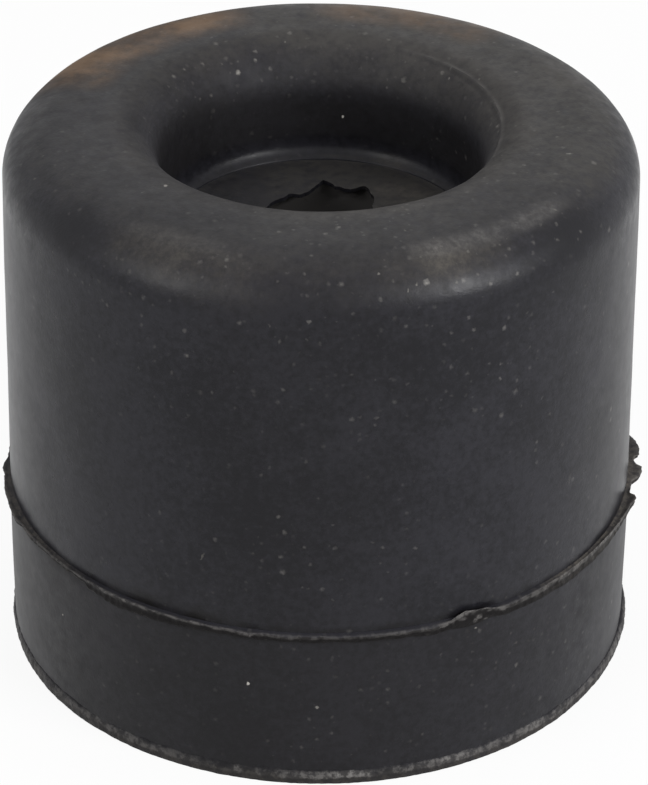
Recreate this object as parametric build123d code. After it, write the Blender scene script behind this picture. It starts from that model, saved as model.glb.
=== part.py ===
from build123d import *
from math import cos, hypot, radians, sin
import os

# Rubber buffer: one moulded block with a stepped hole down its middle, standing on its base.
# Millimetres, +Z up, the origin on the axis at the base. -Y is the front.

# Body
body_height = 71.2
base_wall_radius = 39.75
upper_wall_radius = 39.6
shoulder_wall_radius = 39.0
shoulder_corner_radius = 6.0
shoulder_crown_radius = 8.4

# Recess in the top
recess_depth = 15.4
recess_radius = 19.9
recess_fillet = 2.1
recess_fillet_turn = 62
floor_step = 0.25

# Mouth: a shallow roll from the flat top to a crease, then a steep funnel to the recess wall
mouth_roll_width = 3.5
mouth_roll_drop = 1.4
funnel_width = 2.2
funnel_depth = 5.6

# Bolt bore from the base to the torn film at the recess floor
bore_radius = 13.5
film_thickness = 0.6

# Moulding fin at the parting line
parting_height = 22.05
fin_thickness = 0.5
fin_reach = 0.85
fin_ripple = 0.12

# Trimmed lip round the base
lip_height = 1.1
lip_reach = 0.3
lip_ripple = 0.08

# How far the fin, the lip and the film run into the block
root_depth = 1.5

# Torn tabs on the fin: place and half width in degrees, extra reach as a share of fin_reach
fin_tabs = [
    (5.0, 4.4, 1.41),
    (-3.2, 3.3, 1.35),
    (-13.5, 3.6, 1.12),
    (-19.0, 5.0, 0.59),
    (-33.0, 12.0, 0.53),
    (-64.0, 5.0, 0.41),
    (-101.5, 4.0, 0.35),
    (-124.0, 8.0, 0.41),
    (-158.5, 5.5, 0.82),
    (-168.0, 6.0, 0.35),
    (-176.5, 3.5, 0.47),
    (38.0, 9.0, 0.47),
    (87.0, 6.0, 0.59),
    (131.0, 11.0, 0.41),
]

# Outline of the hole torn in the film: place round the axis in degrees, radius as a share of bore_radius
film_edge = [
    (11, 0.696), (22, 0.622), (33, 0.615), (43, 0.652), (48, 0.733), (52, 0.811), (56.5, 0.844),
    (60.5, 0.907), (64, 0.956), (66, 0.93), (68, 0.885), (71, 0.833), (75, 0.83), (78.5, 0.863),
    (81.5, 0.863), (85, 0.926), (89, 0.981), (92, 0.889), (96.5, 0.793), (101, 0.73), (107, 0.704),
    (111.5, 0.744), (115, 0.741), (120, 0.707), (128, 0.704), (136.5, 0.678), (148, 0.637), (160, 0.696),
    (171, 0.644), (183, 0.733), (196, 0.674), (209, 0.622), (222, 0.704), (234, 0.77), (246, 0.689),
    (259, 0.63), (272, 0.681), (285, 0.763), (297, 0.696), (309, 0.615), (321, 0.667), (334, 0.726),
    (347, 0.659), (359, 0.63),
]

# The shoulder's two arcs, from the wall to the flat top, meet where the surface slopes at 45 degrees
shoulder_blend = radians(45)
shoulder_across = shoulder_corner_radius * (1 - cos(shoulder_blend)) + shoulder_crown_radius * cos(shoulder_blend)
shoulder_down = shoulder_corner_radius * sin(shoulder_blend) + shoulder_crown_radius * (1 - sin(shoulder_blend))
floor_height = body_height - recess_depth

# How many points the uneven outlines of the fin and the lip have
fin_points = 140
lip_points = 80


def polar(radius, angle):
    """The point at this radius and angle, in degrees, round the axis."""
    return (radius * cos(radians(angle)), radius * sin(radians(angle)))


def ripple(angle, size):
    """Uneven trimming: three waves round the edge that together look irregular."""
    turn = radians(angle)
    return size * (0.5 * sin(7 * turn + 0.4) + 0.3 * sin(17 * turn + 2.1) + 0.2 * sin(41 * turn + 1.3))


def fin_radius(angle):
    """Outer radius of the fin, with its torn tabs."""
    radius = base_wall_radius + fin_reach + ripple(angle, fin_ripple)
    for place, half_width, extra in fin_tabs:
        away = abs((angle - place + 180) % 360 - 180) / half_width
        if away < 1:
            radius += extra * fin_reach * (1 - away ** 2)
    return radius


def lip_radius(angle):
    """Outer radius of the lip that trimming left round the base."""
    return base_wall_radius + lip_reach + ripple(-angle, lip_ripple)


def half_section():
    """Half section through the axis, from the bore out to the wall and back over the top."""
    shoulder_height = body_height - shoulder_down
    outside = Polyline(
        (bore_radius, 0),
        (base_wall_radius, 0),
        (base_wall_radius, parting_height),
        (upper_wall_radius, parting_height),
        (shoulder_wall_radius, shoulder_height),
    )

    blend_point = (
        shoulder_wall_radius - shoulder_corner_radius * (1 - cos(shoulder_blend)),
        shoulder_height + shoulder_corner_radius * sin(shoulder_blend),
    )
    crown_end = (shoulder_wall_radius - shoulder_across, body_height)
    corner = RadiusArc((shoulder_wall_radius, shoulder_height), blend_point, -shoulder_corner_radius)
    crown = RadiusArc(blend_point, crown_end, -shoulder_crown_radius)

    crease = (recess_radius + funnel_width, body_height - mouth_roll_drop)
    roll_start = (recess_radius + funnel_width + mouth_roll_width, body_height)
    roll_radius = hypot(mouth_roll_width, mouth_roll_drop) ** 2 / (2 * mouth_roll_drop)
    top = Line(crown_end, roll_start)
    roll = RadiusArc(roll_start, crease, -roll_radius)

    step_height = floor_height + floor_step
    funnel_end = (recess_radius, body_height - mouth_roll_drop - funnel_depth)
    fillet_turn = radians(recess_fillet_turn)
    fillet_start = (recess_radius, step_height + recess_fillet * sin(fillet_turn))
    step_edge = (recess_radius - recess_fillet * (1 - cos(fillet_turn)), step_height)
    recess_wall = Polyline(crease, funnel_end, fillet_start)
    floor_fillet = RadiusArc(fillet_start, step_edge, recess_fillet)
    floor = Polyline(step_edge, (step_edge[0], floor_height), (bore_radius, floor_height), (bore_radius, 0))

    return Plane.XZ * make_face(Curve() + [outside, corner, crown, top, roll, recess_wall, floor_fillet, floor])


def block():
    """The block itself, turned about its axis."""
    return revolve(half_section(), axis=Axis.Z)


def edge_ring(radius_at, points, inner_radius, low, thickness):
    """A flat ring with an uneven outer edge that runs into the block's wall."""
    angles = [360 * step / points for step in range(points)]
    outline = Polyline(*[polar(radius_at(angle), angle) for angle in angles], close=True)
    ring = make_face(outline) - Circle(inner_radius)
    return Pos(0, 0, low) * extrude(ring, thickness)


def fin():
    """The fin that squeezed out between the two halves of the mould."""
    low = parting_height - fin_thickness / 2
    return edge_ring(fin_radius, fin_points, upper_wall_radius - root_depth, low, fin_thickness)


def lip():
    """The lip that trimming left round the base."""
    return edge_ring(lip_radius, lip_points, base_wall_radius - root_depth, 0, lip_height)


def torn_film():
    """The film of rubber across the top of the bore, with the ragged hole torn through it."""
    hole = Polyline(*[polar(bore_radius * share, angle) for angle, share in film_edge], close=True)
    film = Circle(bore_radius + root_depth) - make_face(hole)
    return Pos(0, 0, floor_height - film_thickness) * extrude(film, film_thickness)


# Block, fin, lip and film are the one moulding
rubber_buffer = block() + fin() + lip() + torn_film()

os.makedirs("parts", exist_ok=True)
export_step(rubber_buffer, "parts/rubber_buffer.step")
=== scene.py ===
from math import atan2, cos, degrees, pi, radians, sin, tau

import bmesh
import bpy
from mathutils import Matrix, Vector
from mathutils.noise import noise


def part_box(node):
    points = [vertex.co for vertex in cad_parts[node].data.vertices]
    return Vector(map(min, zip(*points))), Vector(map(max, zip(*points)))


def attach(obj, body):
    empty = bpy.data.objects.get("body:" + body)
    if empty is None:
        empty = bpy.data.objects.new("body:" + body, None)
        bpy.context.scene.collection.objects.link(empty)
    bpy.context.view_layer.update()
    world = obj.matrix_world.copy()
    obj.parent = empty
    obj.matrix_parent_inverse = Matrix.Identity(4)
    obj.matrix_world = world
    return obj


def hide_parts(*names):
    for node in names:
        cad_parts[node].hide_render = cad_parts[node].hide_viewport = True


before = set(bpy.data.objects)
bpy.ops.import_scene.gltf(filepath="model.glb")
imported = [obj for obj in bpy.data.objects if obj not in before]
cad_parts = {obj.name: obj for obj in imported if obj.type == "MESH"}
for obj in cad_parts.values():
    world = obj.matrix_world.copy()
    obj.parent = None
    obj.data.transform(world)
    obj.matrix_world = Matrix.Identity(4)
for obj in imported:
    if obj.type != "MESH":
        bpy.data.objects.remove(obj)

bl_info = {
    "name": "Rubber Buffer",
    "version": (1, 0, 0),
    "blender": (4, 5, 0),
    "location": "View3D > Sidebar > Buffer",
    "description": "A moulded rubber buffer with torn flash, a worn base and dusty rubber",
    "category": "Add Mesh",
}

MM = 0.001
NODE = "rubber_buffer"
CAD_LOW, CAD_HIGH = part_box(NODE)
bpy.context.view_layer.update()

# Steps round the axis
BLOCK_STEPS = 720
EDGE_STEPS = 1440

# Points closer than this are one point
WELD = MM / 1000

# Small sizes in millimetres
FOOT_ROUNDING = 0.3
BORE_CHAMFER = 0.4
CREASE_HALF_WIDTH = 0.3
GROOVE_INSET = 0.6
FILM_DROP = 0.05
WRINKLE_PITCH = 0.5

# Wall above the parting line: millimetres out from the upper wall, millimetres up from the line
PARTING_STEP = ((-0.06, 0.2), (-0.04, 0.9), (0.0, 1.8))

# Points round the quarter turn of the mouth, in degrees, closest together at its crease
MOUTH_POINTS = (*range(5, 20, 5), *range(20, 50, 2), *range(51, 91, 3))

# Fall of the step round the recess floor: millimetres inwards, share of the step's height left
STEP_FALL = ((0.05, 0.72), (0.04, 0.12), (0.06, 0.0))

# Waves that make an edge uneven round the axis: strength, wavelength in millimetres, seed
FILM_TEAR = ((0.2, 0.9, 3.1),)
FILM_SAG = ((0.1, 4.0, 8.4),)
CREASE_BREAKS = ((0.7, 2.2, 5.7),)
FIN_TEAR = ((0.5, 0.5, 1.7), (0.35, 1.6, 6.2))
FIN_HANG_WAVES = ((0.25, 1.8, 4.4),)
FIN_WEAR_AND_HIGHLIGHT_WAVES = ((0.8, 0.7, 2.9),)
FIN_RISE_WAVES = ((0.2, 2.5, 9.3),)
LIP_CUT = ((0.6, 0.7, 2.6), (0.48, 3.5, 7.9))
LIP_TOP = ((1.0, 1.1, 5.5), (1.0, 5.0, 1.2))

# Outline of the hole torn in the film: place in degrees, radius as a share of the bore's radius
FILM_EDGE = (
    (-177, 0.733), (-164, 0.674), (-151, 0.622), (-138, 0.704), (-126, 0.77), (-114, 0.689),
    (-101, 0.63), (-88, 0.681), (-75, 0.763), (-63, 0.696), (-51, 0.615), (-39, 0.667),
    (-26, 0.726), (-13, 0.659), (-1, 0.63), (11, 0.696), (22, 0.622), (33, 0.615), (43, 0.652),
    (48, 0.733), (52, 0.811), (56.5, 0.844), (60.5, 0.907), (64, 0.956), (66, 0.93), (68, 0.885),
    (71, 0.833), (75, 0.83), (78.5, 0.863), (81.5, 0.863), (85, 0.926), (89, 0.975), (92, 0.889),
    (96.5, 0.793), (101, 0.73), (107, 0.704), (111.5, 0.744), (115, 0.741), (120, 0.707),
    (128, 0.704), (136.5, 0.678), (148, 0.637), (160, 0.696), (171, 0.644),
)

# Reach of the fin beyond the wall, in millimetres, by its place in degrees
FIN_REACH = (
    (-179.7, 0.5), (-178.3, 0.9), (-176.3, 1.15), (-174.9, 0.95), (-173.5, 0.85), (-171.9, 0.95),
    (-169.2, 1.1), (-165.5, 1.1), (-161.5, 1.2), (-158.5, 1.25), (-156.5, 0.95), (-147, 0.65),
    (-140, 0.6), (-130, 0.75), (-120, 0.85), (-112, 0.75), (-105, 0.6), (-101.5, 0.95), (-99, 0.6),
    (-93, 0.58), (-84, 0.65), (-76, 0.7), (-68, 0.65), (-66, 0.55), (-60, 0.7), (-57, 0.75),
    (-52, 0.62), (-47, 0.55), (-40, 0.5), (-32, 0.55), (-27, 0.7), (-20.5, 0.95), (-17.9, 1.15),
    (-15.5, 1.35), (-13.2, 1.75), (-12.2, 1.3), (-11.9, 0.8), (-11.3, 0.6), (-6.9, 0.6),
    (-6.2, 1.1), (-5.4, 1.5), (-4.3, 1.85), (-1.8, 1.95), (-1.2, 1.2), (0, 0.95),
    (1.2, 1.15), (1.7, 1.75), (3.7, 1.95), (5.1, 1.9), (6.8, 1.7), (8.2, 1.5), (9.8, 1.1),
    (11.5, 0.6), (14, 0.7), (38, 1.1), (60, 0.7), (87, 1.2), (110, 0.7), (131, 1.05), (150, 0.7),
    (170, 0.75),
)

# Rise of the fin's rim above the parting line, in millimetres
FIN_RISE = (
    (-180, 0.1), (-140, 0.1), (-134, 0.25), (-128, 0.1), (-119, 0.35), (-115, 0.2),
    (-108, 0.0), (-103, -0.1), (-101.4, 0.2), (-99, -0.1), (-90, -0.2), (-76, -0.1), (-69, -0.35),
    (-67.3, -0.05), (-65.5, 0.7), (-63.9, 1.35), (-61.5, 1.1), (-59.6, 0.95), (-57.5, 0.25),
    (-55.9, -0.2), (-52.6, 0.0), (-46.7, 0.15), (-40, 0.0), (-31.9, 0.15), (-27, 0.3),
    (-20, 0.4), (-12, 0.45), (-8, 0.0), (-3, 0.1), (5, 0.2), (20, 0.0),
)

# How far the fin's rim hangs below its own top, in millimetres
FIN_HANG = (
    (-180, 0.6), (-150, 0.75), (-135.2, 0.7), (-134.3, 1.35), (-128, 1.65),
    (-119, 1.5), (-113, 1.15), (-108, 0.95), (-95, 0.85), (-84, 0.85), (-76, 0.9), (-70, 1.2),
    (-66, 1.5), (-63, 1.9), (-59, 1.55), (-56, 1.3), (-50, 1.7), (-40, 1.8), (-28, 1.8),
    (-18, 1.2), (-10, 0.7), (0, 0.7), (10, 0.6), (90, 0.8),
)

# How far the fin's crest is rubbed light, with a painted highlight, from nought to one
FIN_WEAR_AND_HIGHLIGHT = (
    (-180, 0.25), (-140, 0.3), (-134, 0.75), (-128, 0.8), (-120, 0.7), (-112, 0.75), (-104, 0.45),
    (-101.4, 0.7), (-98, 0.3), (-93, 0.35), (-84, 0.25), (-79, 0.27), (-75.8, 0.48), (-70, 0.3),
    (-67.5, 0.65), (-64, 1.0), (-61.5, 0.6), (-57.5, 0.9), (-55, 0.35),
    (-48, 0.5), (-41, 0.75), (-36, 0.6), (-31, 0.85), (-26, 0.95), (-20, 0.7), (-12, 0.45),
    (10, 0.4), (60, 0.5), (140, 0.45),
)

# How far the rubbed light crest and its painted highlight reach down the fin's face, in millimetres
FIN_WEAR_AND_HIGHLIGHT_DEPTH = (
    (-180, 0.2), (-104, 0.2), (-101.4, 0.35), (-99, 0.2), (-70, 0.22), (-67, 0.55), (-62.5, 0.45),
    (-61, 0.15), (-58.5, 0.2), (-57, 0.35), (-50, 0.5), (-22, 0.55), (-12, 0.25),
)

# Lumps rubbed light on the fin, with a painted highlight: place and half sizes in millimetres,
# strength
FIN_LUMPS = (
    ((19.55, -35.35, 21.8), (0.5, 1.0, 0.5), 1.0),
    ((19.05, -35.6, 21.35), (0.42, 1.0, 0.5), 0.8),
    ((17.5, -36.4, 22.1), (0.75, 1.0, 0.35), 0.5),
    ((20.3, -34.9, 21.15), (0.4, 1.0, 0.3), 0.5),
    ((20.8, -34.6, 22.3), (0.5, 1.0, 0.25), 0.4),
    ((-8.2, -39.6, 22.25), (0.45, 1.0, 0.3), 0.8),
)

# Section of the fin: share of its reach, then millimetres up or share of its hang down
FIN_SECTION = (
    (0.0, 0.24), (0.3, 0.16), (0.5, 0.17), (0.7, 0.2), (0.87, 0.15), (0.97, 0.04), (1.0, -0.1),
    (0.95, -0.25), (0.87, -0.4), (0.9, -0.58), (0.92, -0.76), (0.75, -0.93), (0.35, -0.9),
    (-0.1, -0.78),
)

# Section of the lip: share of its reach, share of its height
LIP_SECTION = (
    (-0.25, 1.03), (0.15, 0.98), (0.5, 0.88), (0.8, 0.74), (1.0, 0.56), (1.0, 0.38), (0.85, 0.16),
    (0.6, 0.04), (0.5, 0.0),
)

# Reach of the lip beyond the wall, in millimetres, by its place in degrees
LIP_REACH = (
    (-180, 0.3), (-150, 0.25), (-120, 0.18), (-90, 0.25), (-60, 0.2), (-30, 0.2), (-18, 0.45),
    (-8, 0.65), (2, 0.65), (8, 0.4), (20, 0.3), (120, 0.35),
)

# How far the lip is scuffed light, from nought to one
LIP_WORN = (
    (-180, 0.15), (-150, 0.25), (-141, 0.35), (-125, 0.4), (-113, 0.25), (-107, 0.1),
    (-105.5, 0.1), (-104.3, 0.7), (-103, 0.1), (-101, 0.1), (-100, 0.5), (-98, 0.15),
    (-95, 0.55), (-88, 0.65), (-87, 0.95), (-80.5, 0.95), (-79.5, 0.2), (-77.5, 0.2),
    (-76, 0.5), (-70, 0.6), (-66, 0.9), (-60, 0.6), (-52, 0.5), (-47, 0.75), (-38, 0.45),
    (-30, 0.5), (-20, 0.6), (0, 0.3), (120, 0.3),
)

# Crease in the mouth's rounding: place in degrees, radius in millimetres
MOUTH_CREASE = (
    (-60, 21.6), (-28, 21.7), (-10, 21.9), (12, 22.4), (36, 22.9), (52, 23.1), (75, 23.3),
    (100, 23.4), (200, 22.0),
)

# Larger grains and short scratches: place and half sizes in millimetres, lean in degrees, strength
GRAINS = (
    ((-8.36, -38.96, 14.29), (0.26, 0.3, 0.32), 20, 0.8),
    ((-0.01, -39.85, 11.45), (0.24, 0.3, 0.28), 30, 0.3),
    ((-31.7, -24.15, 13.96), (0.24, 0.24, 0.24), 0, 0.5),
    ((-18.32, -18.23, 71.2), (0.26, 0.4, 0.3), 0, 0.42),
    ((19.13, -34.96, 19.98), (0.24, 0.3, 0.26), 0, 0.25),
    ((2.7, 19.72, 61.53), (0.26, 0.3, 0.26), 0, 0.8),
    ((9.7, -28.91, 71.2), (0.2, 0.3, 0.3), 0, 0.15),
    ((6.67, -36.1, 69.5), (0.2, 0.24, 0.24), 0, 0.22),
    ((15.59, -35.0, 67.8), (0.24, 0.24, 0.24), 0, 0.16),
    ((11.0, -36.3, 68.3), (0.2, 0.24, 0.24), 0, 0.22),
    ((10.0, -36.8, 67.7), (0.2, 0.24, 0.24), 0, 0.2),
    ((29.75, -9.17, 71.2), (0.55, 0.25, 0.3), 0, 0.3),
    ((27.5, -22.0, 70.5), (0.9, 0.16, 0.4), 0, 0.2),
    ((-13.8, -37.4, 31.4), (0.13, 0.5, 0.95), 22, 0.12),
)

# Patches on the shoulder and in the recess: place and half sizes in millimetres along, in and up,
# turn in degrees, strength
# Darker patches, free of dust and in painted shade where the shoulder reflects dark surroundings
CLEAN_AND_SHADED_PATCHES = (
    ((-29.4, -23.8, 68.3), (6.8, 4.4, 3.8), -51, 0.85),
    ((29.3, -24.0, 68.3), (8.0, 4.4, 3.6), 50, 0.95),
    ((0.0, -37.5, 67.0), (15.0, 3.0, 3.4), 0, 0.3),
    ((-32.4, -3.0, 70.8), (7.5, 3.4, 2.6), -84, 0.4),
    ((-23.2, 1.0, 69.3), (5.5, 1.9, 2.8), 90, 0.45),
)
# Dusty patches, and one painted highlight on the recess fillet
DUST_AND_HIGHLIGHT_PATCHES = (
    ((-18.0, -33.6, 67.8), (4.6, 3.2, 3.0), -28, 0.35),
    ((-11.0, -36.4, 67.6), (9.0, 4.0, 4.5), -17, 0.25),
    ((2.0, -36.4, 68.0), (12.0, 4.0, 5.0), 3, 0.2),
    ((-8.5, -34.6, 70.0), (6.5, 3.5, 2.5), -14, 0.35),
    ((14.9, -33.5, 69.9), (11.0, 4.5, 3.6), 24, 0.85),
    ((-17.2, -31.6, 69.8), (10.0, 4.5, 3.6), -29, 0.6),
    ((-22.0, -29.6, 69.3), (6.0, 4.5, 3.6), -37, 0.3),
    ((29.6, 10.8, 70.9), (11.0, 6.0, 3.0), 110, 0.3),
    ((20.0, 23.0, 71.0), (9.0, 6.0, 3.0), 139, 0.12),
    ((-12.9, 18.3, 70.0), (7.0, 3.6, 2.5), 35, 0.22),
    # Painted highlight on the recess fillet, where a softbox reflects
    ((9.6, 17.2, 56.3), (4.5, 2.4, 1.4), -29, 0.6),
    ((9.5, 9.5, 55.8), (8.0, 5.0, 2.0), 0, 0.8),
)

# Dirt and painted shade smeared above the fin: place in degrees, how it fades away to either side,
# strength
DIRT_AND_SHADE_SMEARS = (
    (-118, 0.965, 0.99, 0.8),
    (-54, 0.993, 0.999, 0.35),
)

# Specks of dust: cell and size in millimetres, share of the cells that hold one, stretch, strength
SPECKS = (
    (0.95, 0.36, 0.85, (1, 1, 1), 0.25),
    (1.6, 0.45, 0.8, (1, 1, 1), 0.43),
    (3.2, 0.46, 0.75, (1, 1, 1), 0.55),
    (3.7, 0.42, 0.6, (1, 1, 0.3), 0.44),
)

# Which way the marks lie from the axis, as places in degrees
RIGHT = 0
LEFT = 180
BLOOM_LEFT = 137
BLOOM_RIGHT = 70
SHADED_FRONT = -92
PALE_BASE = 5
DUST_FRONT = -90
DUST_REAR = 45
DUST_LEFT = 185
RECESS_REAR = 55
MOUTH_RIGHT = 12
MOUTH_LEFT = 176
CROWN_RIGHT = -54
CROWN_LEFT = -122
FIN_LEFT = -158
FIN_RIGHT = -20

# Softboxes, all turned to one point on the axis: side, place and size in metres
LAMP_AIM = (0, 0, 40 * MM)
SOFTBOXES = (
    ("left", (-0.455, -0.325, 0.33), (0.38, 0.36)),
    ("right", (0.445, -0.35, 0.3), (0.28, 0.3)),
    ("top", (0.0, 0.25, 0.66), (0.6, 0.4)),
)


def number(name, description, value, **kind):
    """A number on the panel, with its limits and unit."""
    return bpy.props.FloatProperty(name=name, description=description, default=value, **kind)


def length(name, description, millimetres):
    """A size of the buffer, given in millimetres and kept in metres."""
    kind = {"min": 0.0, "precision": 5, "unit": "LENGTH", "subtype": "DISTANCE"}
    return number(name, description, millimetres * MM, **kind)


def share(name, description, value):
    """A plain number from nought to one."""
    return number(name, description, value, min=0.0, max=1.0, subtype="FACTOR")


def power(name, description, watts):
    """The power of a lamp."""
    return number(name, description, watts, min=0.0, unit="POWER")


def angle(name, description, turn):
    """An angle, given in degrees and kept in radians."""
    return number(name, description, radians(turn), unit="ROTATION", subtype="ANGLE")


def colour(name, description, red, green, blue):
    """A colour of the finish, in linear light."""
    return bpy.props.FloatVectorProperty(
        name=name, description=description, default=(red, green, blue),
        size=3, min=0.0, max=1.0, subtype="COLOR",
    )


class BufferBlockSizes(bpy.types.PropertyGroup):
    """Sizes of the moulded block."""

    body_height: length("Height", "From the base to the flat top", CAD_HIGH.z / MM)
    base_wall_radius: length("Base wall", "Radius of the wall below the parting line", 39.95)
    upper_wall_radius: length("Upper wall", "Radius of the wall above the parting line", 39.81)
    shoulder_wall_radius: length("Shoulder wall", "Radius where the shoulder starts", 39.2)
    corner_radius: length("Shoulder corner", "Radius of the shoulder's lower arc", 6.0)
    crown_radius: length("Shoulder crown", "Radius of the shoulder's upper arc", 8.4)
    recess_depth: length("Recess depth", "From the flat top to the recess floor", 15.4)
    recess_radius: length("Recess radius", "Radius of the recess wall", 19.9)
    recess_fillet: length("Recess fillet", "Radius at the foot of the recess wall", 2.1)
    fillet_turn: angle("Fillet turn", "How far round the fillet goes before the step", 62)
    floor_step: length("Floor step", "Height of the step round the recess floor", 0.25)
    mouth_width: length("Mouth width", "How far the mouth's rounding reaches across", 5.7)
    mouth_depth: length("Mouth depth", "How far the mouth's rounding reaches down", 7.0)
    bore_radius: length("Bore radius", "Radius of the bolt bore", 13.5)
    film_thickness: length("Film", "Thickness of the torn film over the bore", 0.6)
    parting_height: length("Parting line", "Height of the parting line above the base", 22.05)
    crease_bead: length("Crease bead", "Height of the raised crease in the mouth", 0.22)
    crease_groove: length("Crease groove", "Depth of the groove inside the crease", 0.154)
    unevenness: length("Unevenness", "How far the surface wanders about its true form", 0.14)


class BufferFlashSizes(bpy.types.PropertyGroup):
    """Sizes of the flash at the parting line and round the base."""

    root: length("Root", "How far the fin and the lip run into the block", 0.9)
    fin_raggedness: length("Fin raggedness", "How uneven the fin's torn edge is", 0.14)
    lip_height: length("Lip height", "Height of the lip round the base", 2.05)
    lip_raggedness: length("Lip raggedness", "How uneven the lip's cut edge is", 0.18)
    fin_pitting: length("Fin pitting", "Depth of the pits in the torn fin", 0.144)
    lip_pitting: length("Lip pitting", "Depth of the pits in the cut lip", 0.09)


class BufferRubber(bpy.types.PropertyGroup):
    """Colours and wear of the rubber, and the colours of its painted light and shade."""

    rubber: colour("Rubber", "Clean black rubber", 0.0113, 0.0111, 0.0138)
    dust: colour("Dust", "Dust lying on upward faces", 0.0305, 0.0288, 0.0276)
    earth: colour("Earth", "Yellowish dust in patches", 0.064, 0.058, 0.051)
    bloom: colour("Bloom", "Brown bloom along the rear of the shoulder", 0.12, 0.078, 0.049)
    # Dirt, and also painted shade under the fin, towards the front, along the seam and down the
    # recess wall
    dirt_and_shade: colour("Dirt", "Dirt held in creases", 0.004, 0.0033, 0.003)
    # Scuffs, and also painted highlights along the fin's crest and the mouth's crease bead
    scuff: colour("Scuff", "Scuffed edges", 0.108, 0.103, 0.1)
    speck: colour("Speck", "Grains of dust", 0.42, 0.4, 0.37)
    roughness: share("Roughness", "Roughness of the clean rubber", 0.34)
    gloss: share("Gloss", "Specular level of the rubber", 0.16)


class BufferStage(bpy.types.PropertyGroup):
    """Floor, studio light and camera."""

    floor_radius: length("Floor radius", "Radius of the round floor", 1600.0)
    aim: bpy.props.FloatVectorProperty(
        name="Aim", description="Point that the camera looks at",
        default=(0.54 * MM, 0.0, 32.033 * MM), size=3, unit="LENGTH", subtype="TRANSLATION",
    )
    distance: length("Camera distance", "From the camera to the point it looks at", 450.0)
    elevation: angle("Camera elevation", "How far above the horizon the camera stands", 30.938)
    roll: angle("Camera roll", "How far the camera leans to one side", 0.443)
    lens: number("Lens", "Focal length of the camera on a 36 mm sensor", 161.31, unit="CAMERA")
    surround: share("Surround", "Strength of the light from all round", 0.5)
    left_power: power("Left box", "Power of the left softbox", 1.6)
    right_power: power("Right box", "Power of the right softbox", 3.6)
    top_power: power("Top box", "Power of the softbox overhead", 1.0)


def wandering(turn, radius, waves):
    """The sum of these waves of smooth noise, which close on themselves round the axis."""
    total = 0.0
    for strength, wavelength, seed in waves:
        reach = radius / (wavelength * MM)
        total += strength * noise(Vector((cos(turn) * reach, sin(turn) * reach, seed)))
    return total


def along(stations, turn):
    """The value at this angle between the stations on either side, right round the axis."""
    place = (degrees(turn) - stations[0][0]) % 360 + stations[0][0]
    closed = stations + ((stations[0][0] + 360, stations[0][1]),)
    for low, high in zip(closed, closed[1:]):
        if place <= high[0]:
            return low[1] + (high[1] - low[1]) * (place - low[0]) / (high[0] - low[0])
    return closed[-1][1]


def smooth(value, low, high):
    """Nought below low, one above high, and a smooth step between."""
    part = min(1.0, max(0.0, (value - low) / (high - low)))
    return part * part * (3 - 2 * part)


def turn_of(place):
    """The angle of a point round the axis."""
    return atan2(place.y, place.x)


class SectionPen:
    """Draws a section in the XZ plane by extruding its last point, then spins it round the axis."""

    def __init__(self, name, place):
        bpy.ops.object.select_all(action="DESELECT")
        bpy.ops.mesh.primitive_plane_add(size=MM)
        self.piece = bpy.context.object
        self.piece.name = self.piece.data.name = name
        self.start = self.at = Vector(place)
        bpy.ops.object.mode_set(mode="EDIT")
        bpy.ops.mesh.select_mode(type="VERT")
        bpy.ops.mesh.select_all(action="SELECT")
        bpy.ops.mesh.merge(type="CENTER")
        bpy.ops.transform.translate(value=(place[0], 0, place[1]))

    def line(self, place, steps=1):
        """Straight on to this place in equal steps."""
        move = (Vector(place) - self.at) / steps
        for _ in range(steps):
            bpy.ops.mesh.extrude_region_move(TRANSFORM_OT_translate={"value": (move.x, 0, move.y)})
        self.at = Vector(place)

    def arc(self, centre, turn, steps):
        """Round this centre, counter-clockwise where the turn is positive."""
        side = 1 if turn > 0 else -1
        bpy.ops.mesh.spin(
            steps=steps, angle=abs(turn), center=(centre[0], 0, centre[1]), axis=(0, side, 0)
        )
        self.at = Vector(centre) + Matrix.Rotation(turn, 2) @ (self.at - Vector(centre))

    def spin(self, steps):
        """Once round the axis."""
        bpy.ops.mesh.select_all(action="SELECT")
        bpy.ops.mesh.remove_doubles(threshold=WELD)
        bpy.ops.mesh.spin(
            steps=steps, angle=tau, center=(0, 0, 0), axis=(0, 0, 1), use_auto_merge=True
        )


def bridge_open_edges(piece, low, high, cuts):
    """Bridges the open loops that lie between these heights."""
    bpy.ops.mesh.select_mode(type="EDGE")
    bpy.ops.mesh.select_all(action="DESELECT")
    mesh = bmesh.from_edit_mesh(piece.data)
    for edge in mesh.edges:
        if len(edge.link_faces) < 2 and all(low < vertex.co.z < high for vertex in edge.verts):
            edge.select_set(True)
    bmesh.update_edit_mesh(piece.data)
    bpy.ops.mesh.bridge_edge_loops(number_cuts=cuts, interpolation="LINEAR")


def close_surface():
    """Merges doubled points, faces the surface outwards and leaves edit mode."""
    bpy.ops.mesh.select_mode(type="VERT")
    bpy.ops.mesh.select_all(action="SELECT")
    bpy.ops.mesh.remove_doubles(threshold=WELD)
    bpy.ops.mesh.normals_make_consistent(inside=False)
    bpy.ops.mesh.select_all(action="DESELECT")
    bpy.ops.object.mode_set(mode="OBJECT")


def displace(piece, name, weight_at, strength, grain=None, middle=0.0):
    """Pushes points outwards by their weight, or unevenly about a middle where a grain is given."""
    group = piece.vertex_groups.new(name=name)
    for vertex in piece.data.vertices:
        weight = weight_at(vertex.co)
        if weight > 0:
            group.add([vertex.index], weight, "REPLACE")
    push = piece.modifiers.new(name, "DISPLACE")
    push.vertex_group = name
    push.strength = strength
    push.mid_level = middle
    if grain:
        texture = bpy.data.textures.new(piece.name + "_" + name, "CLOUDS")
        texture.noise_scale = grain
        texture.noise_depth = 2
        push.texture = texture
        push.texture_coords = "LOCAL"
    bpy.ops.object.modifier_apply(modifier=push.name)
    piece.vertex_groups.clear()


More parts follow.
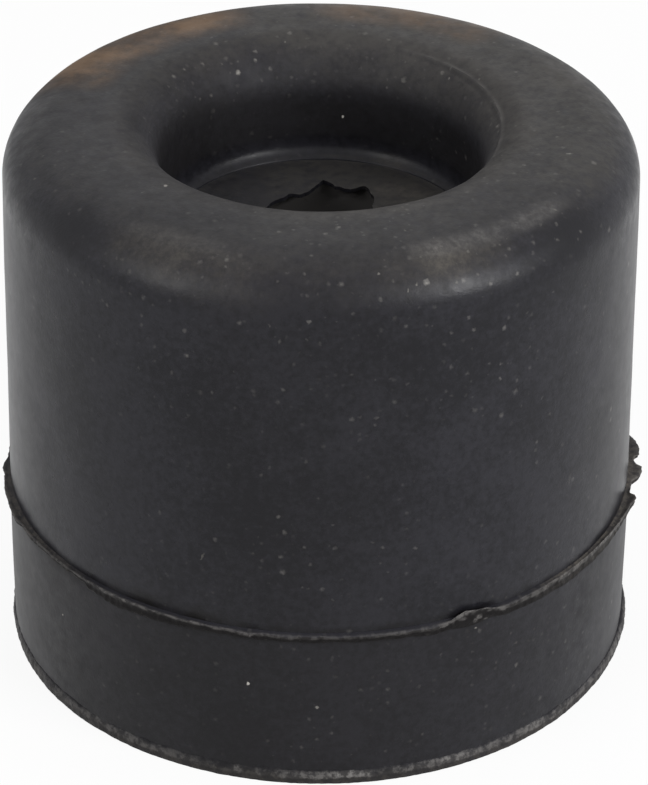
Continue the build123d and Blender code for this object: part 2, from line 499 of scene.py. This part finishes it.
def finish_piece(piece, material, crease):
    """Keeps the piece in the CAD box, and gives it its shading, finish and place in the frame."""
    for vertex in piece.data.vertices:
        for axis in range(3):
            vertex.co[axis] = min(CAD_HIGH[axis], max(CAD_LOW[axis], vertex.co[axis]))
    bpy.ops.object.shade_smooth_by_angle(angle=crease)
    piece.data.materials.append(material)
    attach(piece, "root")
    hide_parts(NODE)


def draw_outside(pen, sizes):
    """From the base up the wall and over the shoulder to the flat top."""
    base, upper, parting = sizes.base_wall_radius, sizes.upper_wall_radius, sizes.parting_height
    foot = FOOT_ROUNDING * MM
    turn = pi / 4
    drop = sizes.corner_radius * sin(turn) + sizes.crown_radius * (1 - sin(turn))
    shoulder = sizes.body_height - drop
    pen.line((base - foot, 0), steps=4)
    pen.arc((base - foot, foot), pi / 2, 3)
    pen.line((base, parting - PARTING_STEP[0][1] * MM), steps=11)
    for out, up in PARTING_STEP:
        pen.line((upper + out * MM, parting + up * MM))
    pen.line((sizes.shoulder_wall_radius, shoulder), steps=20)
    pen.arc((sizes.shoulder_wall_radius - sizes.corner_radius, shoulder), turn, 8)
    pen.arc(pen.at - Vector((1, 1)) * sizes.crown_radius * sin(turn), pi / 2 - turn, 9)


def draw_recess(pen, sizes):
    """From the flat top round the mouth and down the recess to its floor."""
    floor = sizes.body_height - sizes.recess_depth
    pen.line((sizes.recess_radius + sizes.mouth_width, sizes.body_height), steps=4)
    for turn in MOUTH_POINTS:
        pen.line((
            sizes.recess_radius + sizes.mouth_width * (1 - sin(radians(turn))),
            sizes.body_height - sizes.mouth_depth * (1 - cos(radians(turn))),
        ))
    fillet = sizes.recess_fillet
    foot = floor + sizes.floor_step + fillet * sin(sizes.fillet_turn)
    pen.line((sizes.recess_radius, foot), steps=4)
    pen.arc((sizes.recess_radius - fillet, foot), -sizes.fillet_turn, 6)
    for inwards, left in STEP_FALL:
        pen.line((pen.at.x - inwards * MM, floor + left * sizes.floor_step))
    pen.line((sizes.bore_radius + MM, floor), steps=4)


def tear_film(piece, sizes):
    """Closes the top of the bore with a film of rubber that has a ragged hole torn through it."""
    floor = sizes.body_height - sizes.recess_depth
    middle = floor - sizes.film_thickness / 2
    edge_thickness = 0.8 * sizes.film_thickness
    bpy.ops.mesh.select_all(action="DESELECT")
    bpy.ops.mesh.primitive_circle_add(
        vertices=BLOCK_STEPS, radius=sizes.bore_radius, location=(0, 0, floor)
    )
    mesh = bmesh.from_edit_mesh(piece.data)
    for vertex in mesh.verts:
        if vertex.select:
            turn = turn_of(vertex.co)
            reach = along(FILM_EDGE, turn) * sizes.bore_radius
            reach += wandering(turn, reach, FILM_TEAR) * MM
            vertex.co.xy = vertex.co.xy.normalized() * reach
            vertex.co.z -= (FILM_DROP + wandering(turn, reach, FILM_SAG)) * MM
    bmesh.update_edit_mesh(piece.data)
    bpy.ops.mesh.extrude_region_move(TRANSFORM_OT_translate={"value": (0, 0, -edge_thickness)})
    depth = 2 * sizes.film_thickness
    bridge_open_edges(piece, middle - depth, middle, cuts=1)
    bridge_open_edges(piece, middle, middle + depth, cuts=6)


def mould_block(sizes):
    """The block: its half section spun round the axis, its film torn and its surface uneven."""
    floor = sizes.body_height - sizes.recess_depth
    chamfer = BORE_CHAMFER * MM
    pen = SectionPen("buffer_block", (sizes.bore_radius, floor - sizes.film_thickness))
    pen.line((sizes.bore_radius, chamfer), steps=6)
    pen.line((sizes.bore_radius + chamfer, 0))
    draw_outside(pen, sizes)
    draw_recess(pen, sizes)
    pen.spin(BLOCK_STEPS)
    block = pen.piece
    tear_film(block, sizes)
    close_surface()

    def crease_weight(place, inset=0.0):
        turn = turn_of(place)
        across = abs(place.xy.length / MM - along(MOUTH_CREASE, turn) + inset)
        if across > CREASE_HALF_WIDTH or place.z < sizes.body_height - sizes.mouth_depth:
            return 0.0
        whole = 0.7 + wandering(turn, sizes.recess_radius, CREASE_BREAKS)
        side = smooth(cos(turn - radians(MOUTH_RIGHT)), 0.5, 0.9)
        return (1 - across / CREASE_HALF_WIDTH) * side * max(0.0, min(1.0, whole))

    def groove_weight(place):
        return crease_weight(place, GROOVE_INSET)

    def uneven_weight(place):
        return smooth(place.z, 0.5 * MM, 3 * MM)

    # Where the crease bead takes a painted highlight
    crest = block.data.attributes.new("crest", "FLOAT", "POINT")
    for vertex in block.data.vertices:
        crest.data[vertex.index].value = crease_weight(vertex.co)
    displace(block, "crease_bead", crease_weight, sizes.crease_bead)
    displace(block, "crease_groove", groove_weight, -sizes.crease_groove)
    displace(block, "unevenness", uneven_weight, sizes.unevenness, grain=11 * MM, middle=0.5)
    return block


def edge_ring(name, section, root, wall, height):
    """A ring of flash drawn at its full size round the wall, with its root inside the block."""
    pen = SectionPen(name, (wall - root, height * section[0][1]))
    for across, up in section:
        pen.line((wall + across * MM, height * up))
    pen.line((wall - root, pen.at.y))
    pen.line(pen.start)
    pen.spin(EDGE_STEPS)
    close_surface()
    return pen.piece


def pull_out(vertex, wall, reach):
    """Pulls a point of an even ring out to its own reach, and tells its share of that reach."""
    part = (vertex.co.xy.length - wall) / MM
    if part > 0:
        vertex.co.xy = vertex.co.xy.normalized() * (wall + part * reach)
    return part


def cast_fin(block, flash):
    """The fin at the parting line: an even ring, then torn to its uneven reach, rise and hang."""
    wall = block.upper_wall_radius
    fin = edge_ring("parting_fin", FIN_SECTION, flash.root, wall, MM)
    crest = fin.data.attributes.new("crest", "FLOAT", "POINT")
    for vertex in fin.data.vertices:
        turn = turn_of(vertex.co)
        ragged = wandering(turn, wall, FIN_TEAR) * flash.fin_raggedness
        part = pull_out(vertex, wall, along(FIN_REACH, turn) * MM + ragged)
        if vertex.co.z < 0:
            vertex.co.z *= along(FIN_HANG, turn) + wandering(turn, wall, FIN_HANG_WAVES)
        # The crest rubbed light, with a painted highlight over the upper part of the fin's face
        depth = along(FIN_WEAR_AND_HIGHLIGHT_DEPTH, turn) * (1 + wandering(turn, wall, FIN_WEAR_AND_HIGHLIGHT_WAVES)) * MM
        worn_and_lit = smooth(part, 0.3, 0.7) * smooth(vertex.co.z + depth, -0.12 * MM, 0.12 * MM)
        crest.data[vertex.index].value = worn_and_lit * along(FIN_WEAR_AND_HIGHLIGHT, turn)
        rise = along(FIN_RISE, turn) + wandering(turn, wall, FIN_RISE_WAVES)
        vertex.co.z += block.parting_height + rise * max(0.0, part) ** 2 * MM

    def pit_weight(place):
        return smooth(place.xy.length, wall, wall + 0.5 * MM)

    displace(fin, "pitting", pit_weight, flash.fin_pitting, grain=0.9 * MM, middle=1.0)
    return fin


def trim_lip(block, flash):
    """The lip round the base: an even ring, then cut to its uneven reach and height."""
    wall = block.base_wall_radius
    lip = edge_ring("base_lip", LIP_SECTION, flash.root, wall, flash.lip_height)
    crest = lip.data.attributes.new("crest", "FLOAT", "POINT")
    for vertex in lip.data.vertices:
        turn = turn_of(vertex.co)
        crest.data[vertex.index].value = along(LIP_WORN, turn)
        ragged = wandering(turn, wall, LIP_CUT) * flash.lip_raggedness
        pull_out(vertex, wall, along(LIP_REACH, turn) * MM + ragged)
        taller = wandering(turn, wall, LIP_TOP) * flash.lip_raggedness
        vertex.co.z *= 1 + taller / flash.lip_height

    def pit_weight(place):
        return smooth(place.z, 0.05 * MM, 0.3 * MM)

    displace(lip, "pitting", pit_weight, flash.lip_pitting, grain=0.6 * MM, middle=1.0)
    return lip


class NodeBench:
    """Adds and links the nodes of one material or world."""

    def __init__(self, owner):
        owner.use_nodes = True
        self.tree = owner.node_tree
        self.tree.nodes.clear()

    def add(self, kind, inputs=None, **settings):
        """One node, its settings by name and its inputs linked or set."""
        count = len(self.tree.nodes)
        node = self.tree.nodes.new("ShaderNode" + kind)
        node.location = (200 * (count // 6), -190 * (count % 6))
        for name, value in settings.items():
            setattr(node, name, value)
        for name, value in (inputs or {}).items():
            if isinstance(value, bpy.types.NodeSocket):
                self.tree.links.new(value, node.inputs[name])
            else:
                node.inputs[name].default_value = value
        return node

    def math(self, operation, *values, clamp=False):
        """Plain arithmetic on numbers or sockets."""
        inputs = dict(enumerate(values))
        return self.add("Math", inputs, operation=operation, use_clamp=clamp).outputs[0]

    def vector(self, operation, *values):
        """Arithmetic on vectors. Length and dot product give a number."""
        node = self.add("VectorMath", dict(enumerate(values)), operation=operation)
        return node.outputs[1 if operation in ("LENGTH", "DOT_PRODUCT") else 0]

    def band(self, value, low, high, start=0.0, end=1.0):
        """A smooth step from start at low to end at high."""
        inputs = {0: value, 1: low, 2: high, 3: start, 4: end}
        return self.add("MapRange", inputs, interpolation_type="SMOOTHSTEP").outputs[0]

    def mix(self, factor, first, second):
        """The second colour over the first."""
        inputs = {0: factor, 6: first, 7: second}
        return self.add("Mix", inputs, data_type="RGBA").outputs[2]

    def product(self, *values):
        """All the values multiplied together."""
        made = values[0]
        for value in values[1:]:
            made = self.math("MULTIPLY", made, value)
        return made


class RubberBench(NodeBench):
    """The nodes that the finishes of the buffer share: where a point is, and what lies on it."""

    def __init__(self, name, look):
        self.material = bpy.data.materials.new(name)
        super().__init__(self.material)
        self.look = look
        self.place = self.add("TexCoord").outputs["Object"]
        x, y, self.height = self.add("SeparateXYZ", {0: self.place}).outputs
        flat = self.add("CombineXYZ", {0: x, 1: y}).outputs[0]
        self.radius = self.vector("LENGTH", flat)
        self.heading = self.vector("NORMALIZE", flat)
        normal = self.add("NewGeometry").outputs["Normal"]
        self.upward = self.add("SeparateXYZ", {0: normal}).outputs[2]
        self.crest = self.add("Attribute", attribute_name="crest").outputs["Fac"]
        left, right = self.towards(LEFT, 0.75, 0.97), self.towards(RIGHT, 0.75, 0.97)
        self.side = self.product(self.math("MAXIMUM", left, right), self.by_height(65, 60))
        inputs = {"Vector": self.place, "Scale": 2200, "Detail": 1.0}
        wander = self.add("TexNoise", inputs).outputs[1]
        shake = 0.45 * MM
        shaken = self.vector("MULTIPLY_ADD", wander, (shake,) * 3, self.place)
        self.ragged = self.vector("SUBTRACT", shaken, (shake / 2,) * 3)

    def clouds(self, scale, detail, roughness):
        """Cloudy noise about a half."""
        inputs = {"Vector": self.place, "Scale": scale, "Detail": detail, "Roughness": roughness}
        return self.add("TexNoise", inputs).outputs[0]

    def by_height(self, low, high, start=0.0, end=1.0):
        """A smooth step between two heights in millimetres."""
        return self.band(self.height, low * MM, high * MM, start, end)

    def by_radius(self, low, high):
        """A smooth step between two distances from the axis in millimetres."""
        return self.band(self.radius, low * MM, high * MM)

    def towards(self, place, low, high):
        """One near this place round the axis, given in degrees, and nought away from it."""
        way = (cos(radians(place)), sin(radians(place)), 0)
        return self.band(self.vector("DOT_PRODUCT", self.heading, way), low, high)

    def turning(self, place, low, high, near, away=1.0):
        """One value near this place round the axis, and another away from it."""
        return self.band(self.towards(place, low, high), 0.0, 1.0, away, near)

    def specks(self, cell, size, amount, stretch):
        """Scattered specks in cells of this size, and a shade that differs between them."""
        inputs = {
            "Vector": self.ragged,
            "Location": (cell,) * 3,
            "Scale": tuple(part / (cell * MM) for part in stretch),
        }
        local = self.add("Mapping", inputs).outputs[0]
        cells = self.add("TexVoronoi", {"Vector": local, "Scale": 1.0}).outputs
        pick = self.add("SeparateColor", {0: cells["Color"]}).outputs
        reach = self.add("MapRange", {0: pick[0], 1: 1 - amount, 2: 1, 3: 0, 4: size / cell})
        gap = self.math("SUBTRACT", reach.outputs[0], cells["Distance"])
        return self.math("MULTIPLY", gap, 1.1 * cell / size, clamp=True), pick[1]

    def spot(self, middle, size, soft, lean=0, turn=0, ragged=False):
        """One in a small rounded patch of these half sizes, fading to nought at its edge."""
        inputs = {
            "Vector": self.ragged if ragged else self.place,
            "Location": Vector(middle) * MM,
            "Rotation": (0, radians(lean), radians(turn)),
            "Scale": Vector(size) * MM,
        }
        local = self.add("Mapping", inputs, vector_type="TEXTURE").outputs[0]
        return self.band(self.vector("LENGTH", local), 1.0, soft)

    def rgb(self, name, strength=1.0):
        """A colour of the look, ready for a socket."""
        return (*(part * strength for part in getattr(self.look, name)), 1.0)

    def bare_rubber(self):
        """Black rubber, cloudy and slightly uneven in tone, darker below the parting line away from
        the right, and in painted shade towards the front.
        """
        grain = self.product(self.clouds(1100, 3, 0.7), 1.1)
        cloud = self.math("ADD", self.clouds(60, 4, 0.6), grain)
        shade = self.band(cloud, 0.8, 1.35)
        made = self.mix(shade, self.rgb("rubber", 0.75), self.rgb("rubber", 1.45))
        # Darker below the parting line, most away from the right
        base = self.product(
            self.by_height(22.3, 21.8, 0.0, 0.4), self.turning(PALE_BASE, -0.2, 0.8, 0.35),
        )
        # Painted shade: the front of the wall darker, where less light falls on it
        front = self.product(self.towards(SHADED_FRONT, 0.9, 1.0), 0.2)
        return self.mix(self.math("MAXIMUM", base, front), made, self.rgb("dirt_and_shade"))

    def dusted(self, under):
        """Dust lying in patches on the faces that look up, and dust with painted light down into the
        mouth.
        """
        patches = self.band(self.clouds(160, 5, 0.65), 0.3, 0.7, 0.5)
        fine = self.band(self.clouds(900, 3, 0.6), 0.3, 0.7, 0.4, 1.15)
        level = self.math("ADD", self.upward, self.product(self.clouds(240, 5, 0.7), 0.36))
        lying = self.product(
            self.band(level, 0.84, 1.17), self.turning(DUST_LEFT, -0.2, 0.9, 0.55),
            self.turning(DUST_FRONT, 0.2, 0.9, 0.68),
            self.turning(DUST_REAR, -0.3, 0.8, 1.5), patches, fine,
        )
        made = self.mix(lying, under, self.rgb("dust"))
        # Dust and painted light down the mouth's rounding, less on the left
        mouth = self.product(
            self.by_radius(28, 24.5), self.by_height(63.5, 71.5),
            self.turning(MOUTH_LEFT, -0.8, 0.9, 0.4, 1.1), patches,
            self.band(fine, 0.0, 1.2, 0.5, 1.1),
        )
        return self.mix(mouth, made, self.rgb("dust", 1.5))

    def patched(self, under):
        """Clean patches in painted shade, dust patches with one painted highlight, a lighter crown
        band and bore, and the crease's painted highlight.
        """
        cloud = self.product(
            self.band(self.clouds(260, 4, 0.65), 0.3, 0.65, 0.3),
            self.band(self.clouds(1300, 4, 0.7), 0.35, 0.7, 0.5, 1.15),
        )
        made = under
        # Painted shade: darker than the bare rubber, clean of dust
        for middle, size, turn, strength in CLEAN_AND_SHADED_PATCHES:
            patch = self.spot(middle, size, soft=0.2, turn=turn)
            made = self.mix(self.product(patch, strength), made, self.rgb("rubber", 0.7))
        # Dust patches, one of them a painted highlight on the recess fillet
        for middle, size, turn, strength in DUST_AND_HIGHLIGHT_PATCHES:
            patch = self.spot(middle, size, soft=0.0, turn=turn)
            made = self.mix(self.product(patch, cloud, strength), made, self.rgb("earth"))
        # A lighter band round the crown, strongest at the right
        ring = self.product(self.by_radius(32.3, 34.4), self.by_radius(36.2, 34.8))
        left = self.product(self.towards(CROWN_LEFT, 0.95, 0.99), 0.3)
        sides = self.math("MAXIMUM", self.towards(CROWN_RIGHT, 0.93, 0.985), left)
        crown = self.product(ring, sides, cloud, self.by_height(69, 70), 0.55)
        made = self.mix(crown, made, self.rgb("scuff"))
        # Painted highlight along the crease bead in the mouth
        made = self.mix(self.product(self.crest, 0.4), made, self.rgb("scuff"))
        # Lighter inside the bore, below the film
        bore = self.product(self.by_radius(14.4, 13.8), self.by_height(55.3, 55.0))
        return self.mix(bore, made, self.rgb("scuff", 0.7))

    def bloomed(self, under):
        """Brown bloom along the rear of the shoulder."""
        ring = self.product(
            self.by_radius(26.5, 31), self.by_radius(39.5, 36.5), self.by_height(60, 67),
        )
        cloud = self.band(self.clouds(150, 5, 0.7), 0.35, 0.65, 0.3)
        right = self.product(self.towards(BLOOM_RIGHT, 0.9, 0.985), 0.65)
        sides = self.math("MAXIMUM", self.towards(BLOOM_LEFT, 0.85, 0.965), right)
        return self.mix(self.product(sides, ring, cloud), under, self.rgb("bloom"))

    def dirtied_and_shaded(self, under):
        """Dirt and painted shade along the seam at the parting line, and painted shade darkening the
        recess wall.
        """
        uneven = self.band(self.clouds(260, 4, 0.65), 0.3, 0.65, 0.25)
        # Dirt and painted shade along the seam, where the fin shades the wall
        seam = self.product(self.by_height(23.4, 22.6), uneven, 0.5)
        for place, wide, near, strength in DIRT_AND_SHADE_SMEARS:
            smear = self.product(
                self.towards(place, wide, near), self.by_height(24.9, 22.7), uneven, strength,
            )
            seam = self.math("MAXIMUM", seam, smear)
        seam = self.product(seam, self.by_height(20.5, 21.1), self.by_radius(36, 38))
        # Painted shade darkening the recess wall, reaching higher at the rear
        lift = self.turning(RECESS_REAR, 0.0, 0.9, 2.2 * MM, 0.0)
        wall = self.product(
            self.by_radius(24, 21.5), self.by_height(57.5, 59.5),
            self.band(self.math("ADD", self.height, lift), 69 * MM, 65 * MM), 0.55,
        )
        return self.mix(self.math("MAXIMUM", seam, wall), under, self.rgb("dirt_and_shade"))

    def speckled(self, under):
        """Specks and short marks of dust, thickest on the shoulder, and the larger grains."""
        thick = self.product(
            self.band(self.clouds(45, 3, 0.6), 0.38, 0.62, 0.3),
            self.by_height(42, 64, 0.42, 1.3), self.band(self.upward, 0.85, 0.99, 1.0, 0.5),
            self.math("MAXIMUM", self.by_radius(24, 27), self.by_height(64, 69, 0.3)),
            self.turning(DUST_LEFT, 0.3, 0.9, 0.45),
        )
        made = under
        for cell, size, amount, stretch, strength in SPECKS:
            mask, shade = self.specks(cell, size, amount, stretch)
            factor = self.product(mask, shade, shade, thick, strength)
            made = self.mix(factor, made, self.rgb("speck"))
        for middle, size, lean, strength in GRAINS:
            grain = self.spot(middle, size, soft=0.4, lean=lean, ragged=True)
            made = self.mix(grain, made, self.rgb("speck", strength))
        return made

    def rough(self, extra):
        """Roughness that wanders over the surface, duller where dust lies and low on the wall."""
        spread = self.band(self.side, 0.0, 1.0, 0.42, 0.12)
        wander = self.math("SUBTRACT", self.clouds(500, 3, 0.6), 0.5)
        even = self.math("MULTIPLY_ADD", wander, spread, self.look.roughness + extra)
        dusty = self.band(self.upward, 0.2, 0.9, 0.0, 0.17)
        recess = self.product(self.by_radius(27, 23), self.by_height(58.3, 59.5), 0.3)
        low = self.by_height(22, 20.5, 0.0, 0.1)
        bloom = self.product(
            self.towards(BLOOM_LEFT, 0.8, 0.95), self.by_radius(30, 34), self.by_height(60, 67), 0.25,
        )
        made = even
        for duller in (dusty, recess, low, bloom):
            made = self.math("ADD", made, duller)
        return made

    def grained(self, depth, wrinkles):
        """Bump: the mould's fine grain, softer at the sides, and wrinkles at the mouth's left."""
        coarse = self.clouds(600, 3, 0.5)
        relief = self.math("ADD", self.clouds(2600, 2, 0.6), self.product(coarse, 0.55))
        if wrinkles:
            wave = self.product(self.radius, tau / (WRINKLE_PITCH * MM))
            wave = self.math("ADD", wave, self.product(coarse, 9.0))
            where = self.product(
                self.towards(MOUTH_LEFT, 0.82, 0.98), self.by_height(64, 66),
                self.by_radius(24.0, 22.9), self.band(self.clouds(1100, 2, 0.5), 0.4, 0.6, 0.1),
            )
            relief = self.math("ADD", relief, self.product(self.math("SINE", wave), where, 1.3))
        strength = self.band(self.side, 0.0, 1.0, 0.5, 0.2)
        inputs = {"Height": relief, "Strength": strength, "Distance": depth}
        return self.add("Bump", inputs).outputs[0]

    def shade(self, finish, grain, wrinkles=False, extra=0.0, dulled=1.0):
        """The material: this finish under specks, with grain of this depth in metres."""
        shader = self.add("BsdfPrincipled", {
            "Base Color": self.speckled(finish), "Roughness": self.rough(extra),
            "Normal": self.grained(grain, wrinkles), "Specular IOR Level": self.look.gloss * dulled,
        })
        self.add("OutputMaterial", {"Surface": shader.outputs[0]})
        return self.material


def block_finish(look):
    """Dusty moulded rubber with brown bloom behind, dirt in the seam and dust specks."""
    bench = RubberBench("moulded_rubber", look)
    finish = bench.dirtied_and_shaded(bench.bloomed(bench.patched(bench.dusted(bench.bare_rubber()))))
    return bench.shade(finish, 0.038 * MM, wrinkles=True)


def fin_finish(look):
    """Torn rubber: dirt and painted shade on faces that look down, painted light on those that look
    up, dust at the sides, and a crest rubbed light with a painted highlight.
    """
    bench = RubberBench("torn_rubber", look)
    patches = bench.band(bench.clouds(1000, 4, 0.7), 0.4, 0.6, 0.3)
    # Dirt and painted shade below, and the rubber painted lighter on faces that look up
    lit_facing_up = bench.band(bench.upward, 0.2, 0.7, 0.12)
    under = bench.mix(lit_facing_up, bench.rgb("dirt_and_shade"), bench.rgb("rubber", 1.6))
    under = bench.mix(bench.product(patches, 0.08), under, bench.rgb("scuff", 0.5))
    left = bench.product(bench.towards(FIN_LEFT, 0.9, 0.99), 0.6)
    sides = bench.math("MAXIMUM", left, bench.towards(FIN_RIGHT, 0.85, 0.96))
    dusty = bench.product(sides, patches, bench.band(bench.upward, -0.2, 0.5), 0.85)
    under = bench.mix(dusty, under, bench.rgb("earth", 1.4))
    # Crest and lumps rubbed light, with a painted highlight where they catch the light
    worn_and_lit = bench.crest
    for middle, size, strength in FIN_LUMPS:
        lump = bench.product(bench.spot(middle, size, soft=0.3), strength)
        worn_and_lit = bench.math("MAXIMUM", worn_and_lit, lump)
    finish = bench.mix(bench.product(worn_and_lit, patches), under, bench.rgb("scuff", 0.98))
    return bench.shade(finish, 0.08 * MM, extra=0.12, dulled=0.35)


def lip_finish(look):
    """Cut and scuffed rubber: a light worn band over a darker, browner lower edge."""
    bench = RubberBench("scuffed_rubber", look)
    top = bench.math("ADD", bench.height, bench.product(bench.clouds(500, 4, 0.7), 1.2 * MM))
    band = bench.product(
        bench.band(top, 1.25 * MM, 1.65 * MM), bench.band(top, 2.6 * MM, 2.2 * MM),
    )
    fine = bench.band(bench.clouds(800, 4, 0.7), 0.41, 0.61, 0.2, 1.1)
    brown = bench.product(
        bench.band(top, 2.2 * MM, 1.6 * MM), bench.band(fine, 0.2, 1.0, 0.2, 0.5),
    )
    edge = bench.mix(brown, bench.bare_rubber(), bench.rgb("earth", 0.7))
    finish = bench.mix(bench.product(band, bench.crest, fine), edge, bench.rgb("scuff", 1.2))
    return bench.shade(finish, 0.12 * MM, extra=0.12, dulled=0.8)


def seen_directly(bench):
    """One where the camera, a reflection or clear glass sees the surface."""
    rays = bench.add("LightPath").outputs
    seen = bench.math("MAXIMUM", rays["Is Camera Ray"], rays["Is Glossy Ray"])
    return bench.math("MAXIMUM", seen, rays["Is Transmission Ray"])


def light_surround(stage):
    """White all round where it is seen, and softer where it lights the buffer."""
    world = bpy.data.worlds.new("surround")
    bpy.context.scene.world = world
    bench = NodeBench(world)
    white = bench.add("Background", {"Color": (1, 1, 1, 1), "Strength": 1.0})
    soft = bench.add("Background", {"Color": (1, 1, 1, 1), "Strength": stage.surround})
    mixed = bench.add("MixShader", {0: seen_directly(bench), 1: soft.outputs[0], 2: white.outputs[0]})
    bench.add("OutputWorld", {"Surface": mixed.outputs[0]})


def lay_floor(stage):
    """A round pale floor, a thin disc."""
    bpy.ops.object.select_all(action="DESELECT")
    bpy.ops.mesh.primitive_circle_add(vertices=96, radius=stage.floor_radius, fill_type="NGON")
    floor = bpy.context.object
    floor.name = "floor"
    bpy.ops.object.mode_set(mode="EDIT")
    bpy.ops.mesh.select_all(action="SELECT")
    bpy.ops.mesh.extrude_region_move(TRANSFORM_OT_translate={"value": (0, 0, -20 * MM)})
    bpy.ops.mesh.select_all(action="SELECT")
    bpy.ops.mesh.normals_make_consistent(inside=False)
    bpy.ops.object.mode_set(mode="OBJECT")

    material = bpy.data.materials.new("pale_floor")
    bench = NodeBench(material)
    paint = bench.add("BsdfDiffuse", {"Color": (0.82, 0.82, 0.82, 1)})
    glow = bench.add("Emission", {"Strength": 1.0})
    bare = bench.add("MixShader", {0: 0.9, 1: paint.outputs[0], 2: glow.outputs[0]})
    mixed = bench.add("MixShader", {0: seen_directly(bench), 1: paint.outputs[0], 2: bare.outputs[0]})
    bench.add("OutputMaterial", {"Surface": mixed.outputs[0]})
    floor.data.materials.append(material)


def hang_softbox(name, place, size, watts):
    """A softbox at this place, turned towards the buffer."""
    turn = (Vector(LAMP_AIM) - Vector(place)).to_track_quat("-Z", "Y").to_euler()
    bpy.ops.object.light_add(type="AREA", location=place, rotation=turn)
    lamp = bpy.context.object
    lamp.name = name
    lamp.data.shape = "RECTANGLE"
    lamp.data.size, lamp.data.size_y = size
    lamp.data.energy = watts


def stand_camera(stage):
    """The camera at the photograph's angle."""
    bpy.ops.object.camera_add()
    camera = bpy.context.object
    camera.name = "camera"
    camera.data.lens = stage.lens
    camera.data.clip_start = 10 * MM
    tilt = Matrix.Rotation(pi / 2 - stage.elevation, 4, "X")
    back = Vector((0, -cos(stage.elevation), sin(stage.elevation))) * stage.distance
    place = Matrix.Translation(Vector(stage.aim) + back)
    camera.matrix_world = place @ tilt @ Matrix.Rotation(stage.roll, 4, "Z")
    bpy.context.scene.camera = camera


class BUFFER_OT_mould_block(bpy.types.Operator):
    """Mould the block with its recess, bore and torn film."""

    bl_idname = "buffer.mould_block"
    bl_label = "Mould the block"
    bl_options = {"REGISTER", "UNDO"}

    def execute(self, context):
        scene = context.scene
        block = mould_block(scene.buffer_block)
        finish_piece(block, block_finish(scene.buffer_rubber), crease=radians(35))
        return {"FINISHED"}


class BUFFER_OT_cast_fin(bpy.types.Operator):
    """Add the torn fin of flash at the parting line."""

    bl_idname = "buffer.cast_fin"
    bl_label = "Add the parting fin"
    bl_options = {"REGISTER", "UNDO"}

    def execute(self, context):
        scene = context.scene
        fin = cast_fin(scene.buffer_block, scene.buffer_flash)
        finish_piece(fin, fin_finish(scene.buffer_rubber), crease=radians(50))
        return {"FINISHED"}


class BUFFER_OT_trim_lip(bpy.types.Operator):
    """Add the cut and scuffed lip round the base."""

    bl_idname = "buffer.trim_lip"
    bl_label = "Add the base lip"
    bl_options = {"REGISTER", "UNDO"}

    def execute(self, context):
        scene = context.scene
        lip = trim_lip(scene.buffer_block, scene.buffer_flash)
        finish_piece(lip, lip_finish(scene.buffer_rubber), crease=radians(50))
        return {"FINISHED"}


class BUFFER_OT_set_stage(bpy.types.Operator):
    """Lay the floor, hang the softboxes and stand the camera."""

    bl_idname = "buffer.set_stage"
    bl_label = "Set the stage"
    bl_options = {"REGISTER", "UNDO"}

    def execute(self, context):
        stage = context.scene.buffer_stage
        light_surround(stage)
        lay_floor(stage)
        for side, place, size in SOFTBOXES:
            hang_softbox(side + "_box", place, size, getattr(stage, side + "_power"))
        stand_camera(stage)
        context.scene.view_settings.view_transform = "Standard"
        return {"FINISHED"}


class BUFFER_PT_sidebar(bpy.types.Panel):
    """Sizes, finish and steps of the buffer."""

    bl_idname = "BUFFER_PT_sidebar"
    bl_label = "Rubber Buffer"
    bl_space_type = "VIEW_3D"
    bl_region_type = "UI"
    bl_category = "Buffer"

    def draw(self, context):
        for name, title, group, operators in ROWS:
            box = self.layout.box()
            box.label(text=title)
            for size in group.__annotations__:
                box.prop(getattr(context.scene, name), size)
            for operator in operators:
                box.operator(operator.bl_idname)


ROWS = (
    ("buffer_block", "Block", BufferBlockSizes, (BUFFER_OT_mould_block,)),
    ("buffer_flash", "Flash", BufferFlashSizes, (BUFFER_OT_cast_fin, BUFFER_OT_trim_lip)),
    ("buffer_rubber", "Rubber", BufferRubber, ()),
    ("buffer_stage", "Stage", BufferStage, (BUFFER_OT_set_stage,)),
)

CLASSES = [made for *_, group, operators in ROWS for made in (group, *operators)]
CLASSES.append(BUFFER_PT_sidebar)


def register():
    for made in CLASSES:
        bpy.utils.register_class(made)
    for name, _, group, _ in ROWS:
        setattr(bpy.types.Scene, name, bpy.props.PointerProperty(type=group))


def unregister():
    for name, *_ in ROWS:
        delattr(bpy.types.Scene, name)
    for made in reversed(CLASSES):
        bpy.utils.unregister_class(made)


def main():
    register()
    bpy.ops.buffer.mould_block()
    bpy.ops.buffer.cast_fin()
    bpy.ops.buffer.trim_lip()
    bpy.ops.buffer.set_stage()


if __name__ == "__main__":
    main()
